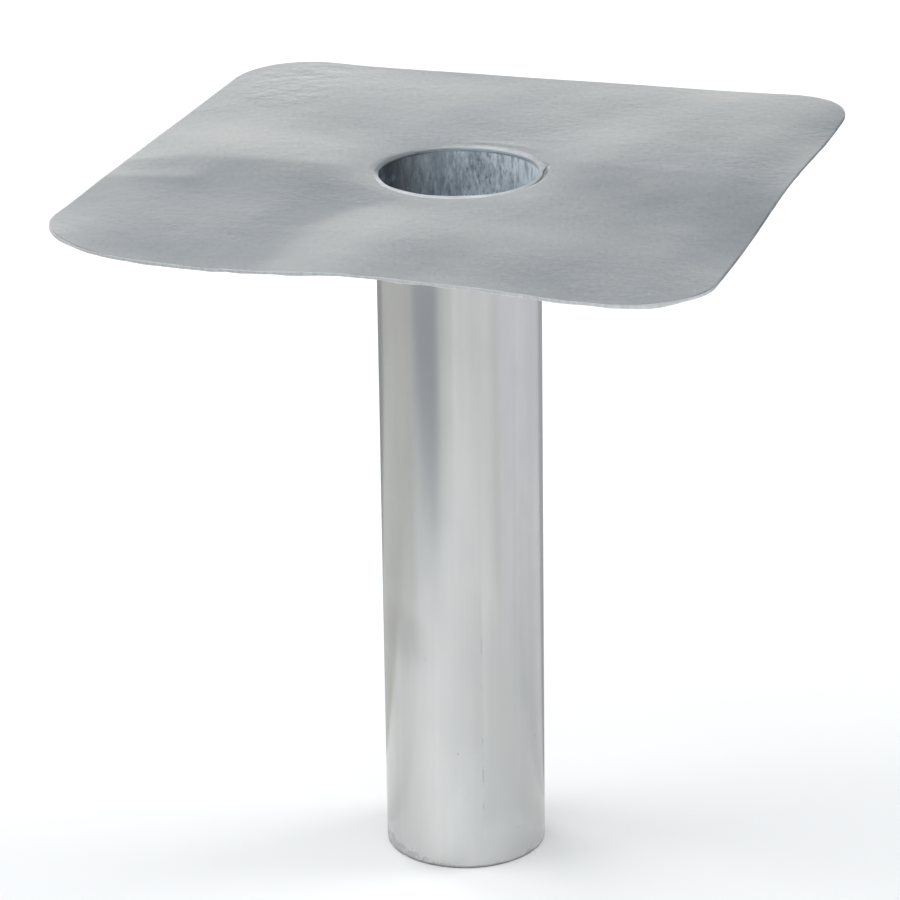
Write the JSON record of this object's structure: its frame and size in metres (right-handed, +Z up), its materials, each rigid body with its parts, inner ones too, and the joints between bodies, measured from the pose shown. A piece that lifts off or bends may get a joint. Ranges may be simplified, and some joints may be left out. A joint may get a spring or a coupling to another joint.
{
  "type": "roof outlet spigot",
  "caption": "Flat-roof drain outlet: a square, slightly wavy sheet flange with rounded corners, welded at its central hole to a straight round spigot tube.",
  "frame": {"origin": "centre of the tube's lower end, on the surface that the part stands on", "axes": "+Z up along the tube's axis towards the flange, +X and +Y along the flange's sides"},
  "size_m": [0.36, 0.36, 0.4008],
  "materials": {
    "sheet_aluminium": "mill finish soft sheet, satin with fine grain and handling marks",
    "tube_aluminium": "drawn tube, satin, with faint lengthwise lines and a mottled inner wall",
    "weld_aluminium": "smooth fused bead, bright"
  },
  "bodies": {
    "root": {"flange_sheet": "sheet_aluminium", "spigot_tube": "tube_aluminium", "weld_seam": "weld_aluminium"}
  },
  "joints": []
}
